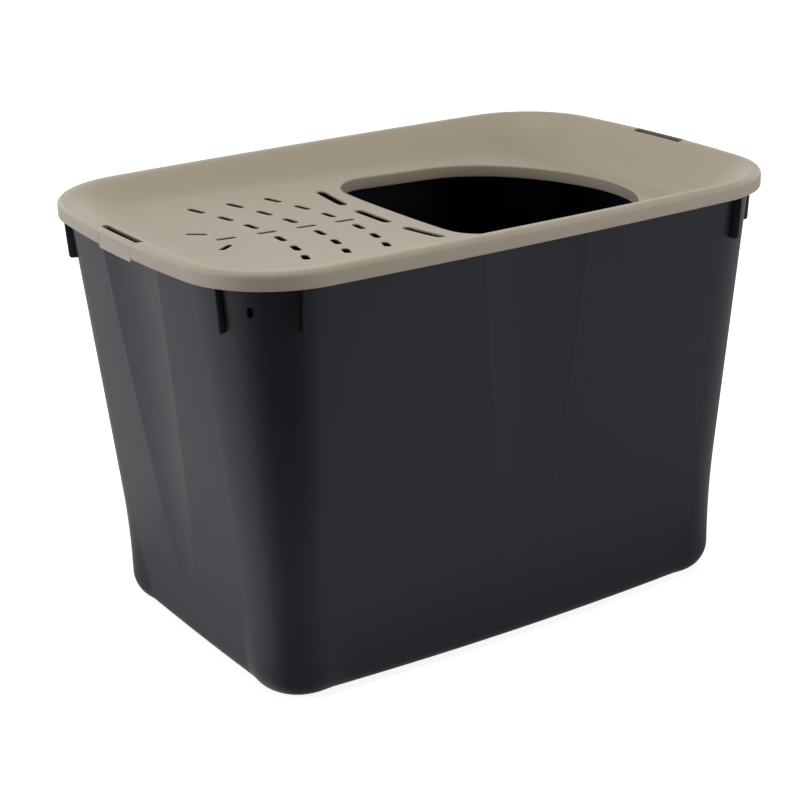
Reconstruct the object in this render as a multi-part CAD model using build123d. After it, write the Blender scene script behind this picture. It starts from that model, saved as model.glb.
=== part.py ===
from build123d import *

import math
import os

# A top entry litter box: a deep tub, a dished lid with a cat opening and litter slots,
# and two snap tabs that hold the lid down. Millimetres. +X runs along the long side, the
# front faces -Y, +Z is up, and the origin is on the floor under the middle of the box.
# An inset is measured inwards from the lid's outer edge, square to that edge.

# Lid outline from above. A bow is how far a side's middle stands out past its corners.
lid_length = 585.0
lid_width = 392.0
lid_corner_radius = 89.0
lid_short_bow = 15.5
lid_long_bow = 6.5

# Lid section
lid_wall = 2.6
skirt_depth = 14.5
crest_round = 4.5
crest_width = 8.0
slope_reach = 65.0
slope_power = 1.5
dish_depth = 27.6
dish_fall = 0.036
slope_steps = 9
slope_foot_rise = 2.5
floor_inset = 105.0
floor_corner_radius = 20.0

# Cat opening: a D whose round end is half a circle, with a turned down collar
opening_radius = 123.0
opening_round_x = 100.0
opening_flat_x = -17.5
opening_corner_radius = 39.0
collar_wall = 2.6
collar_depth = 12.0

# Three long slots on an arc that follows the opening's flat edge
long_slot_count = 3
long_slot_length = 50.0
long_slot_width = 8.5
long_slot_pitch = 75.0
long_slot_x = -43.0
long_slot_arc = 800.0

# Three rows of litter slots on arcs, with a spoke slot in the middle of each row
row_count = 3
row_pitch = 39.0
row_last_x = -72.0
row_arc = 257.0
row_first_angle = 5.6
row_step_angle = 8.0
row_steps = 3
litter_slot_length = 19.5
litter_slot_width = 6.4
spoke_length = 19.5
spoke_width = 5.4

# Three slots at the head of the rows, fanned out
head_slot_x = -190.0
head_side_x = -204.0
head_side_y = 26.0
head_side_angle = 37.0

# Tub, outside. The base sizes are those of the walls carried down to the floor.
tub_height = 385.6
tub_wall = 2.6
rim_overhang = 10.5
tub_top_radius = 79.0
tub_top_short_bow = 11.0
tub_top_long_bow = 8.5
base_length = 479.0
base_width = 312.0
base_radius = 42.0
base_short_bow = 2.0
base_long_bow = 10.0
base_clearance = 3.0
base_fillet = 14.0

# A round foot stands out of each corner
foot_top = 58.0
foot_inset = 5.0
foot_height = 88.0
foot_fillet = 26.0

# A shallow round groove runs down the middle of each wall and dies out near the floor
groove_radius = 250.0
groove_depth = 6.0
groove_foot = 50.0

# Rim under the lid
rim_gap = 0.8
rim_thickness = 2.6
rim_below_skirt_edge = 1.0
bead_width = 2.6
seat_gap = 0.3

# Gusset fins at the corners, and a small slot between each pair. A drop is measured
# down from the skirt's lower edge.
fin_angles = (24.5, 73.5)
fin_thickness = 2.2
fin_drop = 39.0
fin_top_inset = 3.8
fin_bottom_inset = 6.4
fin_chamfer = 1.5
pip_angle = 43.5
pip_drop = 21.0
pip_width = 4.5
pip_length = 8.0

# Snap tabs in the short sides, each in front of a slot in the crest. The panel leans in
# from the crest's shoulder down to a crease, and a lip flares out below it.
tab_width = 62.0
tab_gap = 0.4
tab_lean = 1.2
tab_lip_drop = 2.2
tab_lip_flare = 1.6
tab_lip_height = 4.4
tab_nose_height = 2.0
tab_nose_gap = 0.3
crest_slot_length = 67.0
crest_slot_outer = 4.0
crest_slot_inner = 11.0
crest_slot_round = 2.3

# Heights that follow from the sizes above
lid_underside = tub_height + seat_gap
crest_z = lid_underside + lid_wall
skirt_bottom = crest_z - skirt_depth
rim_bottom = skirt_bottom + rim_below_skirt_edge
rim_top = rim_bottom + rim_thickness
rim_inset = lid_wall + rim_gap
fin_bottom = skirt_bottom - fin_drop
pip_height = skirt_bottom - pip_drop
dish_low = crest_z - dish_depth - dish_fall * lid_length / 2 - collar_depth
past = 5.0


def bowed_outline(length, width, radius, short_bow, long_bow, height):
    """A rounded rectangle with bowed sides, as a face at the given height."""
    half_length = length / 2
    half_width = width / 2
    corner_x = half_length - short_bow
    corner_y = half_width - long_bow
    back = ThreePointArc((corner_x, corner_y), (0, half_width), (-corner_x, corner_y))
    left = ThreePointArc((-corner_x, corner_y), (-half_length, 0), (-corner_x, -corner_y))
    front = ThreePointArc((-corner_x, -corner_y), (0, -half_width), (corner_x, -corner_y))
    right = ThreePointArc((corner_x, -corner_y), (half_length, 0), (corner_x, corner_y))
    sharp = make_face([back, left, front, right])
    rounded = fillet(sharp.vertices(), radius)
    return Pos(0, 0, height) * rounded


def lid_outline(inset, height):
    """The lid's outline moved in by the inset, with its sides kept parallel."""
    short_bow = lid_short_bow * (1 - 2 * inset / lid_width) ** 2
    long_bow = lid_long_bow * (1 - 2 * inset / lid_length) ** 2
    radius = max(lid_corner_radius - inset, floor_corner_radius)
    length = lid_length - 2 * inset
    width = lid_width - 2 * inset
    return bowed_outline(length, width, radius, short_bow, long_bow, height)


def tub_outline(height, inset):
    """The tub's outline at a height: a straight blend from the base to the rim."""
    share = height / skirt_bottom
    length = base_length + (lid_length - 2 * rim_overhang - base_length) * share
    width = base_width + (lid_width - 2 * rim_overhang - base_width) * share
    radius = base_radius + (tub_top_radius - base_radius) * share
    short_bow = base_short_bow + (tub_top_short_bow - base_short_bow) * share
    long_bow = base_long_bow + (tub_top_long_bow - base_long_bow) * share
    inner_length = length - 2 * inset
    inner_width = width - 2 * inset
    return bowed_outline(inner_length, inner_width, radius - inset, short_bow, long_bow, height)


def corner_centre(outline):
    """Centre and radius of the arc that rounds the outline's +X +Y corner."""
    arcs = sorted(outline.edges(), key=lambda edge: edge.center().X + edge.center().Y)
    return arcs[-1].arc_center, arcs[-1].radius


def mirrored_corners(piece):
    """The piece at the +X +Y corner, with its three mirror images."""
    pair = [piece, mirror(piece, Plane.YZ)]
    return pair + [mirror(one, Plane.XZ) for one in pair]


def prism(face, bottom, top):
    """The face's outline as an upright solid between two heights."""
    flat = Pos(0, 0, bottom - face.center().Z) * face
    return extrude(flat, top - bottom)


# ---- Tub -------------------------------------------------------------------

def wall_x(height):
    """Half length of the tub at the middle of a short wall."""
    return base_length / 2 + (lid_length / 2 - rim_overhang - base_length / 2) * height / skirt_bottom


def wall_y(height):
    """Half width of the tub at the middle of a long wall."""
    return base_width / 2 + (lid_width / 2 - rim_overhang - base_width / 2) * height / skirt_bottom


def groove_tool(wall_at, radius, direction):
    """A leaning cylinder that cuts the groove of one wall. Its deepest line leaves the
    wall at groove_foot and reaches groove_depth at the skirt's edge."""
    lowest = wall_at(groove_foot) + groove_radius
    highest = wall_at(skirt_bottom) - groove_depth + groove_radius
    foot = direction * lowest + Vector(0, 0, groove_foot)
    head = direction * highest + Vector(0, 0, skirt_bottom)
    section = Plane(origin=foot, z_dir=head - foot) * Circle(radius)
    return extrude(section, tub_height, both=True)


def groove_tools(extra):
    """The four groove cylinders, larger by the given amount."""
    radius = groove_radius + extra
    along_x = groove_tool(wall_x, radius, Vector(1, 0, 0))
    along_y = groove_tool(wall_y, radius, Vector(0, 1, 0))
    return [along_x, mirror(along_x, Plane.YZ), along_y, mirror(along_y, Plane.XZ)]


def foot_solids(inset, bottom):
    """The four round feet, or their hollows when an inset is given."""
    centre, radius = corner_centre(tub_outline(foot_top, 0))
    place = Pos(centre.X + foot_inset, centre.Y + foot_inset, bottom)
    foot_radius = radius - foot_inset - inset
    column = extrude(place * Circle(foot_radius), foot_height - bottom)
    rounded = fillet(column.edges().sort_by(Axis.Z)[0], foot_fillet - inset)
    return mirrored_corners(rounded)


def tub_body(inset, bottom, top):
    """The tapered body between two heights with its lower edge rounded."""
    body = loft([tub_outline(bottom, inset), tub_outline(top, inset)], ruled=True)
    lower_edges = body.faces().sort_by(Axis.Z)[0].edges()
    return fillet(lower_edges, base_fillet - inset)


def corner_fins():
    """Two gusset fins on each corner, from the wall out under the rim."""
    centre, radius = corner_centre(lid_outline(0, 0))
    root = radius - (lid_length / 2 - wall_x(fin_bottom)) - tub_wall
    head = rim_bottom + rim_thickness / 2
    side = Polyline(
        (root, fin_bottom),
        (radius - fin_bottom_inset - fin_chamfer, fin_bottom),
        (radius - fin_bottom_inset, fin_bottom + fin_chamfer),
        (radius - fin_top_inset, head),
        (root, head),
        close=True,
    )
    profile = Plane.XZ * make_face(side)
    fin = extrude(profile, fin_thickness / 2, both=True)
    fins = []
    for angle in fin_angles:
        placed = Pos(centre.X, centre.Y, 0) * Rot(0, 0, angle) * fin
        fins += mirrored_corners(placed)
    return fins


def corner_pips():
    """A small upright slot through the wall on each corner."""
    centre, radius = corner_centre(tub_outline(pip_height, 0))
    slot = Rot(0, 0, 90) * SlotOverall(pip_length, pip_width)
    upright = Plane.YZ * slot
    tool = extrude(upright, radius / 2, both=True)
    placed = Pos(centre.X, centre.Y, pip_height) * Rot(0, 0, pip_angle) * Pos(radius, 0, 0) * tool
    return mirrored_corners(placed)


def make_tub():
    """Walls, feet, rim, bead and fins around one cavity."""
    rim = prism(lid_outline(rim_inset, 0), rim_bottom, rim_top)
    bead = prism(lid_outline(rim_inset, 0), rim_bottom, tub_height)
    bead -= prism(lid_outline(rim_inset + bead_width, 0), rim_bottom - past, tub_height + past)
    cavity = tub_body(tub_wall, base_clearance + tub_wall, rim_top + past)
    cavity -= groove_tools(tub_wall)
    cavity += foot_solids(tub_wall, tub_wall)
    outside = tub_body(0, base_clearance, rim_top) - groove_tools(0)
    outside += foot_solids(0, 0) + [rim, bead] + corner_fins()
    return outside - cavity - corner_pips()


# ---- Lid -------------------------------------------------------------------

def dish_blend(inset):
    """Share of the way from the dish's floor up to the crest at an inset."""
    share = (slope_reach - inset) / (slope_reach - crest_width)
    share = min(max(share, 0), 1)
    return math.sin(math.pi / 2 * share ** slope_power) ** 2


def dish_section(inset, rise, drop):
    """One tilted outline of the dish. The dish falls towards the opening and its floor
    rises a little towards the slope."""
    blend = dish_blend(inset)
    fall = dish_fall * (1 - blend)
    height = crest_z - (dish_depth - rise) * (1 - blend) - drop
    return Plane(origin=(0, 0, height), x_dir=(1, 0, -fall), z_dir=(fall, 0, 1)) * lid_outline(inset, 0)


def dish_space(drop):
    """The open space of the dish, from its floor up to the crest, lowered by the drop."""
    sections = [dish_section(floor_inset, 0, drop)]
    for step in range(slope_steps + 1):
        inset = slope_reach + (crest_width - slope_reach) * step / slope_steps
        sections.append(dish_section(inset, slope_foot_rise, drop))
    return loft(sections, ruled=True)


def lid_block():
    """The lid's outer form from the skirt's edge up to the rounded crest, filled in."""
    block = extrude(lid_outline(0, skirt_bottom), skirt_depth)
    top_edges = block.faces().sort_by(Axis.Z)[-1].edges()
    return fillet(top_edges, crest_round)


def lid_shell():
    """Skirt, crest, slope and dish, one wall thick."""
    well = prism(lid_outline(crest_width + lid_wall, 0), dish_low, skirt_bottom + lid_wall)
    outside = lid_block() + well - dish_space(0)
    inside = prism(lid_outline(lid_wall, 0), dish_low - past, crest_z - lid_wall) - dish_space(lid_wall)
    return outside - inside


def opening_face(extra):
    """The cat opening's D, larger by the given amount all round."""
    reach = opening_radius + extra
    flat = opening_flat_x - extra
    right = RadiusArc((opening_round_x, -reach), (opening_round_x, reach), -reach)
    top = Line((opening_round_x, reach), (flat, reach))
    left = Line((flat, reach), (flat, -reach))
    bottom = Line((flat, -reach), (opening_round_x, -reach))
    sharp = make_face([right, top, left, bottom])
    corners = sharp.vertices().group_by(Axis.X)[0]
    return fillet(corners, opening_corner_radius + extra)


def slot_at(x, y, angle, length, width):
    """A round ended slot, lying at an angle to +X."""
    return Pos(x, y, 0) * Rot(0, 0, angle) * SlotOverall(length, width)


def long_slots():
    slots = []
    for index in range(long_slot_count):
        y = (index - (long_slot_count - 1) / 2) * long_slot_pitch
        lean = math.degrees(math.asin(y / long_slot_arc))
        x = long_slot_x + long_slot_arc * (1 - math.cos(math.radians(lean)))
        slots.append(slot_at(x, y, 90 - lean, long_slot_length, long_slot_width))
    return slots


def litter_slots():
    slots = []
    for row in range(row_count):
        apex = row_last_x - row * row_pitch
        slots.append(slot_at(apex, 0, 0, spoke_length, spoke_width))
        for step in range(row_steps):
            angle = row_first_angle + step * row_step_angle
            x = apex - row_arc * (1 - math.cos(math.radians(angle)))
            y = row_arc * math.sin(math.radians(angle))
            slots.append(slot_at(x, y, 90 + angle, litter_slot_length, litter_slot_width))
            slots.append(slot_at(x, -y, 90 - angle, litter_slot_length, litter_slot_width))
    return slots


def head_slots():
    return [
        slot_at(head_slot_x, 0, 0, spoke_length, spoke_width),
        slot_at(head_side_x, head_side_y, -head_side_angle, spoke_length, spoke_width),
        slot_at(head_side_x, -head_side_y, head_side_angle, spoke_length, spoke_width),
    ]


def short_side_band(outer, inner, width):
    """A band that follows the left short side between two insets, seen from above."""
    ring = lid_outline(outer, 0) - lid_outline(inner, 0)
    return ring & Pos(-lid_length / 2, 0) * Rectangle(lid_corner_radius, width)


def short_side_strip(outer, inner, width, bottom, top):
    """The band as a solid between two heights."""
    return prism(short_side_band(outer, inner, width), bottom, top)


def crest_slot():
    """The slot in the crest behind the left tab."""
    band = short_side_band(crest_slot_outer, crest_slot_inner, crest_slot_length)
    rounded = fillet(band.vertices(), crest_slot_round)
    return prism(rounded, skirt_bottom, crest_z + past)


def below_collar():
    """Everything under the collar's lower edge, which is parallel to the dish."""
    low = crest_z - dish_depth - collar_depth
    slope = Plane(origin=(0, 0, low), x_dir=(1, 0, -dish_fall), z_dir=(dish_fall, 0, 1))
    return slope * Pos(0, 0, -lid_width / 2) * Box(lid_length, lid_width, lid_width)


def tab_window():
    """The gap that the left tab fills in the crest and the skirt."""
    inner = crest_slot_outer + crest_slot_round
    width = tab_width + 2 * tab_gap
    return short_side_strip(-past, inner, width, skirt_bottom - past, crest_z + past)


def make_lid():
    """The shell with its collar, less the opening, the slots and the tabs' gaps."""
    collar = prism(opening_face(collar_wall), dish_low - past, crest_z)
    lid = lid_shell() + (collar - dish_space(0) - below_collar())
    lid -= prism(opening_face(0), dish_low - 2 * past, crest_z + past)
    slots = long_slots() + litter_slots() + head_slots()
    lid -= [prism(slot, dish_low, crest_z) for slot in slots]
    left_cuts = [crest_slot(), tab_window()]
    return lid - left_cuts - [mirror(cut, Plane.YZ) for cut in left_cuts]


# ---- Snap tabs -------------------------------------------------------------

def tab_nose():
    """The low nose on the left tab that stands under the tub's rim."""
    top = rim_bottom - tab_nose_gap
    width = tab_width - 2 * lid_wall
    inner = rim_inset - tab_nose_gap
    return short_side_strip(lid_wall / 2, inner, width, top - tab_nose_height, top)


def make_left_tab():
    """The strip of crest in front of the slot, the leaning panel, the lip and the nose."""
    bottom = skirt_bottom - tab_lip_drop
    crease = bottom + tab_lip_height
    shoulder = crest_z - crest_round
    crest = split(lid_block(), Plane.XY.offset(shoulder), keep=Keep.TOP)
    panel = loft([lid_outline(tab_lean, crease), lid_outline(0, shoulder)], ruled=True)
    lip = loft([lid_outline(-tab_lip_flare, bottom), lid_outline(tab_lean, crease)], ruled=True)
    hollow = prism(lid_outline(lid_wall, 0), crease, lid_underside)
    under_lip_foot = lid_outline(lid_wall - tab_lip_flare, bottom)
    under_lip = loft([under_lip_foot, lid_outline(lid_wall, crease)], ruled=True)
    strip = short_side_strip(-past, crest_slot_outer, tab_width, bottom, crest_z)
    tongue = (crest + panel + lip - hollow - under_lip) & strip
    return tongue + tab_nose()


# ---- Export ----------------------------------------------------------------

os.makedirs("parts", exist_ok=True)
left_tab = make_left_tab()
nodes = {
    "tub": make_tub(),
    "lid": make_lid(),
    "left_snap_tab": left_tab,
    "right_snap_tab": mirror(left_tab, Plane.YZ),
}
for name, solid in nodes.items():
    export_step(solid, f"parts/{name}.step")
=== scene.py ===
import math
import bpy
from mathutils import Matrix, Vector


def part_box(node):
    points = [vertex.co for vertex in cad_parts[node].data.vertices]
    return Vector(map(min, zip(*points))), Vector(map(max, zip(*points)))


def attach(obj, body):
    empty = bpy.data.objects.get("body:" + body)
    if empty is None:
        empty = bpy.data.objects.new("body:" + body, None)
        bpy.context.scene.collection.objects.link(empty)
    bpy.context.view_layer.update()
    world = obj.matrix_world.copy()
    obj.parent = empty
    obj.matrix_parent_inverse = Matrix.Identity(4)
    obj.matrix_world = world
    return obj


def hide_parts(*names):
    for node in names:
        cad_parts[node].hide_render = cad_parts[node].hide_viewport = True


bl_info = {
    "name": "Top Entry Litter Box",
    "version": (1, 0, 0),
    "blender": (4, 5, 0),
    "location": "3D View > Sidebar > Litter Box",
    "description": "Models a tapered plastic tub with a dished lid, snap tabs and a small studio",
    "category": "Add Mesh",
}

import bmesh
import bpy
from bpy.props import FloatProperty, FloatVectorProperty, PointerProperty
from mathutils import Matrix, Vector
from mathutils.geometry import intersect_sphere_sphere_2d

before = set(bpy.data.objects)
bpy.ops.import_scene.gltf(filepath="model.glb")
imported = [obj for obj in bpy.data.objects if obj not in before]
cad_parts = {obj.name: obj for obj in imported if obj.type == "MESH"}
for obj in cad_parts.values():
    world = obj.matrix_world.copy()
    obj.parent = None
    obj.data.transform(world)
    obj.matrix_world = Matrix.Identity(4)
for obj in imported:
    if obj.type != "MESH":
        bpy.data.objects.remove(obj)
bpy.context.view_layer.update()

# Metres. +X runs along the long side, the front faces -Y and +Z is up. An inset is measured
# inwards from the lid's outer edge, square to that edge. A drop is measured down from the
# surface of the dish.

# How far the lid reaches past the tub's rim, and how far its crest stands above the rim's bead.
overhang = 0.0034
lid_rise = 0.0029
tub_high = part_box("tub")[1]

# Where the rows of litter slots start, and where a row's slots lie, in degrees round the row.
row_starts = (-0.072, -0.111, -0.15)
row_angles = (-21.6, -13.6, -5.6, 5.6, 13.6, 21.6)

# Distance of the flat plate's rim inside the foot of the slope, and the places across the lid
# at which the plate is divided so that it can bend.
rim_start = 0.001
bends = (0.02, 0.04, 0.055, 0.068, 0.08, 0.09, 0.099, 0.107, 0.114, 0.12, 0.126)

# The head slots' places along and across the lid and their angles in degrees.
head_slots = ((-0.19, 0, 0), (-0.204, 0.026, -37), (-0.204, -0.026, 37))


def number(name, default, description, **kind):
    return FloatProperty(name=name, default=default, description=description, precision=4, **kind)


def length(name, default, description):
    return number(name, default, description, unit="LENGTH")


def angle(name, degrees, description):
    return number(name, math.radians(degrees), description, subtype="ANGLE")


# Settings


class LidSizes(bpy.types.PropertyGroup):
    half_length: length("Half length", tub_high.x + overhang, "Middle to the left or right edge")
    half_width: length("Half width", tub_high.y + overhang, "Middle to the front or back edge")
    corner_radius: length("Corner radius", 0.089, "Rounding of the corners from above")
    short_bow: length("Short side bow", 0.0155, "Bulge of a short side")
    long_bow: length("Long side bow", 0.0065, "Bulge of a long side")
    crest: length("Crest height", tub_high.z + lid_rise, "Height of the top edge")
    wall: length("Wall", 0.0026, "Thickness of the moulded sheet")
    skirt: length("Skirt", 0.0145, "Depth of the outer skirt below the crest")
    crest_round: length("Crest rounding", 0.0045, "Radius between the crest and the skirt")
    crest_width: length("Crest width", 0.008, "Inset at which the slope starts")
    slope_reach: length("Slope reach", 0.065, "Inset at which the slope meets the floor")
    dish_depth: length("Dish depth", 0.0276, "Fall from the crest to the dish floor")
    slope_hollow: number("Slope hollow", 2.4, "How slowly the slope leaves the floor")
    slope_shoulder: number("Slope shoulder", 1.6, "How softly the slope meets the crest")
    dish_fall: number("Dish fall", 0.036, "Fall of the floor towards the opening")
    floor_rise: length("Floor rise", 0.0026, "Rise of the floor towards the long sides")
    floor_reach: length("Floor reach", 0.108, "Distance across at which the floor has risen")
    edge_round: length("Edge rounding", 0.001, "Rounding of the skirt's lower edge")


class OpeningSizes(bpy.types.PropertyGroup):
    radius: length("Radius", 0.123, "Round end of the cat opening")
    centre_x: length("Round end centre", 0.1, "Middle of the round end along the lid")
    flat_x: length("Flat side", -0.0175, "Place of the flat side along the lid")
    corner_radius: length("Corner radius", 0.039, "Rounding where the flat side ends")
    collar: length("Collar depth", 0.012, "Depth of the turned down collar")
    lip_round: length("Lip rounding", 0.0016, "Rounding from the dish into the collar")


class SlotSizes(bpy.types.PropertyGroup):
    long_length: length("Long slot length", 0.053, "Length of a slot beside the opening")
    long_width: length("Long slot width", 0.0093, "Width of a slot beside the opening")
    long_row_x: length("Long row place", -0.043, "Place of the middle long slot")
    long_row_step: length("Long row step", 0.075, "Distance between long slots")
    long_row_radius: length("Long row radius", 0.8, "Curve through the long slots")
    row_radius: length("Row radius", 0.257, "Curve through a row of litter slots")
    litter_length: length("Litter slot length", 0.0195, "Length of a short slot in a row")
    litter_width: length("Litter slot width", 0.0066, "Width of a short slot in a row")
    spoke_length: length("Spoke slot length", 0.0195, "Length of a slot along the lid")
    spoke_width: length("Spoke slot width", 0.0054, "Width of a slot along the lid")
    edge_round: length("Slot edge rounding", 0.0005, "Rounding of the slots' upper edges")
    land: length("Slot land", 0.0009, "Depth of a short slot's upright wall")
    long_land: length("Long slot land", 0.0017, "Depth of a long slot's upright wall")
    flare: length("Slot flare", 0.0018, "How far a slot widens below its land")
    border: length("Border", 0.0009, "Flat border round a slot or the opening")
    crest_length: length("Crest slot length", 0.067, "Length of the slots behind the tabs")
    crest_outer: length("Crest slot outer inset", 0.004, "Inset of the crest slot's outer edge")
    crest_inner: length("Crest slot inner inset", 0.011, "Inset of the crest slot's inner edge")
    crest_corner: length("Crest slot corners", 0.0023, "Rounding of the crest slot's corners")


class TabSizes(bpy.types.PropertyGroup):
    width: length("Width", 0.065, "Width of a snap tab at the crest")
    foot_width: length("Foot width", 0.0568, "Width of a snap tab at its lip")
    gap: length("Gap", 0.00025, "Gap beside a snap tab")
    lean: length("Lean", 0.0005, "How far the panel leans in at its crease")
    lip_drop: length("Lip drop", 0.0022, "How far the lip hangs below the skirt")
    lip_flare: length("Lip flare", 0.0005, "How far the lip stands out past the skirt")
    lip_height: length("Lip height", 0.0044, "Crease to the lip's lower edge")
    crease_width: length("Crease width", 0.0008, "Height of the line above the lip")
    crease_depth: length("Crease depth", 0.0007, "Depth of the line above the lip")
    edge_round: length("Edge rounding", 0.0003, "Rounding of the tab's edges")


class TubSizes(bpy.types.PropertyGroup):
    wall: length("Wall", 0.0026, "Thickness of the moulded sheet")
    base_half_length: length("Base half length", 0.2395, "Middle to a short wall, at the floor")
    base_half_width: length("Base half width", 0.156, "Middle to a long wall, at the floor")
    base_radius: length("Base corner radius", 0.042, "Rounding of the corners at the floor")
    base_short_bow: length("Base short side bow", 0.002, "Bulge of a short wall at the floor")
    base_long_bow: length("Base long side bow", 0.01, "Bulge of a long wall at the floor")
    top_half_length: length("Top half length", 0.282, "Middle to a short wall, at the rim")
    top_half_width: length("Top half width", 0.1855, "Middle to a long wall, at the rim")
    top_radius: length("Top corner radius", 0.079, "Rounding of the corners at the rim")
    top_short_bow: length("Top short side bow", 0.011, "Bulge of a short wall at the rim")
    top_long_bow: length("Top long side bow", 0.0085, "Bulge of a long wall at the rim")
    base_round: length("Base rounding", 0.014, "Rounding of the lower edge")
    clearance: length("Clearance", 0.003, "Height of the base between the feet")
    groove_radius: length("Groove radius", 0.25, "Roundness of the hollow down each wall")
    groove_depth: length("Groove depth", 0.006, "Depth of the hollow at the rim")
    groove_least: length("Least groove", 0.012, "Least half width of the hollow")
    groove_foot: length("Groove foot", 0.05, "Height at which the hollow dies out")
    foot_radius: length("Foot radius", 0.04274, "Roundness of a foot seen from above")
    foot_x: length("Foot place X", 0.20164, "Middle of a foot along the box")
    foot_y: length("Foot place Y", 0.11133, "Middle of a foot across the box")
    foot_round: length("Foot rounding", 0.026, "Rounding of a foot's lower edge")
    foot_blend: length("Foot blend", 0.004, "Width of the soft crease beside a foot")
    rim_inset: length("Rim inset", overhang, "Inset of the rim's outer face")
    rim_bottom: length("Rim underside", 0.375, "Height of the rim's underside")
    rim_top: length("Rim upper face", 0.3776, "Height of the rim's upper face")


class FinSizes(bpy.types.PropertyGroup):
    thickness: length("Fin thickness", 0.0022, "Thickness of a gusset fin")
    bottom: length("Fin bottom", 0.335, "Height of a fin's lower end")
    top_inset: length("Fin top inset", 0.0038, "Inset of the outer edge under the rim")
    bottom_inset: length("Fin bottom inset", 0.0064, "Inset of the outer edge at the bottom")
    end_angle: angle("End fin angle", 24.5, "Turn of the fin by a short wall")
    side_angle: angle("Side fin angle", 73.5, "Turn of the fin by a long wall")
    pip_angle: angle("Small slot angle", 43.5, "Turn of the slot between two fins")
    pip_height: length("Small slot height", 0.353, "Height of the small slot")
    pip_length: length("Small slot length", 0.008, "Length of the small slot")
    pip_width: length("Small slot width", 0.0045, "Width of the small slot")


class PlasticLook(bpy.types.PropertyGroup):
    colour: FloatVectorProperty(
        name="Colour", default=(0.37, 0.328, 0.252), description="Colour of the moulded plastic",
        subtype="COLOR", size=3, min=0, max=1,
    )
    roughness: number("Roughness", 0.42, "Roughness of the satin skin", subtype="FACTOR")
    specular: number("Specular", 0.55, "Strength of the skin's gloss", subtype="FACTOR")
    grain: length("Grain size", 0.0007, "Size of the fine grain")
    grain_depth: length("Grain depth", 0.00003, "Depth of the fine grain")
    mottles: number("Mottles", 46, "Mottled patches in a metre")
    waves: number("Waves", 9, "Flow waves in a metre")
    wave_depth: length("Wave depth", 0.0006, "Depth of the flow waves")


class StudioSettings(bpy.types.PropertyGroup):
    azimuth: angle("Azimuth", -32.817, "Camera turn round the box")
    elevation: angle("Elevation", 20.121, "Camera height angle")
    roll: angle("Roll", -1.645, "Camera roll")
    distance: length("Distance", 1.8034, "Camera to its target")
    target_x: length("Target X", -0.02, "Target along the box")
    target_z: length("Target height", 0.1846, "Target above the floor")
    lens: number("Lens", 88.36, "Focal length in millimetres")
    ambient: number("Ambient", 0.03, "Strength of the even light")
    backdrop: number("Backdrop", 0.9, "How bright flat faces mirror the wall behind")
    top_watts: number("Top light", 40, "Power of the light above the box")
    left_watts: number("Left light", 37, "Power of the light at the left")
    right_watts: number("Right light", 28, "Power of the light at the right")
    floor_shade: number("Floor", 0.84, "How white the floor is beside the box")


class LitterBoxSettings(bpy.types.PropertyGroup):
    lid: PointerProperty(type=LidSizes)
    opening: PointerProperty(type=OpeningSizes)
    slots: PointerProperty(type=SlotSizes)
    tabs: PointerProperty(type=TabSizes)
    tub: PointerProperty(type=TubSizes)
    fins: PointerProperty(type=FinSizes)
    lid_plastic: PointerProperty(type=PlasticLook)
    tub_plastic: PointerProperty(type=PlasticLook)
    studio: PointerProperty(type=StudioSettings)


# Materials


class Value:
    """A shader socket. Arithmetic on it adds Math nodes to its material."""

    def __init__(self, shader, socket):
        self.shader = shader
        self.socket = socket

    def maths(self, operation, first, second):
        node = self.shader.node("ShaderNodeMath", {"operation": operation}, {0: first, 1: second})
        return Value(self.shader, node.outputs[0])

    def __add__(self, other):
        return self.maths("ADD", self, other)

    def __radd__(self, other):
        return self.maths("ADD", other, self)

    def __sub__(self, other):
        return self.maths("SUBTRACT", self, other)

    def __rsub__(self, other):
        return self.maths("SUBTRACT", other, self)

    def __mul__(self, other):
        return self.maths("MULTIPLY", self, other)

    def __rmul__(self, other):
        return self.maths("MULTIPLY", other, self)


class Shader:
    """The node tree of one material or world."""

    def __init__(self, owner):
        owner.use_nodes = True
        self.tree = owner.node_tree
        self.tree.nodes.clear()

    def node(self, kind, settings, inputs):
        """Adds a node with its settings, then fills its sockets with values or links."""
        made = self.tree.nodes.new(kind)
        for name, setting in settings.items():
            setattr(made, name, setting)
        for key, given in inputs.items():
            if isinstance(given, Value):
                self.tree.links.new(given.socket, made.inputs[key])
            else:
                made.inputs[key].default_value = given
        return made

    def value(self, kind, settings, inputs, output=0):
        return Value(self, self.node(kind, settings, inputs).outputs[output])

    def vector(self, operation, first, second=(0, 0, 0), output="Vector"):
        sides = {0: first, 1: second}
        return self.value("ShaderNodeVectorMath", {"operation": operation}, sides, output)

    def smooth(self, value, start, end, first, last):
        """Eases from the first to the last result while the value goes from start to end."""
        return self.value(
            "ShaderNodeMapRange",
            {"interpolation_type": "SMOOTHSTEP"},
            {"Value": value, "From Min": start, "From Max": end, "To Min": first, "To Max": last},
        )


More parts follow.
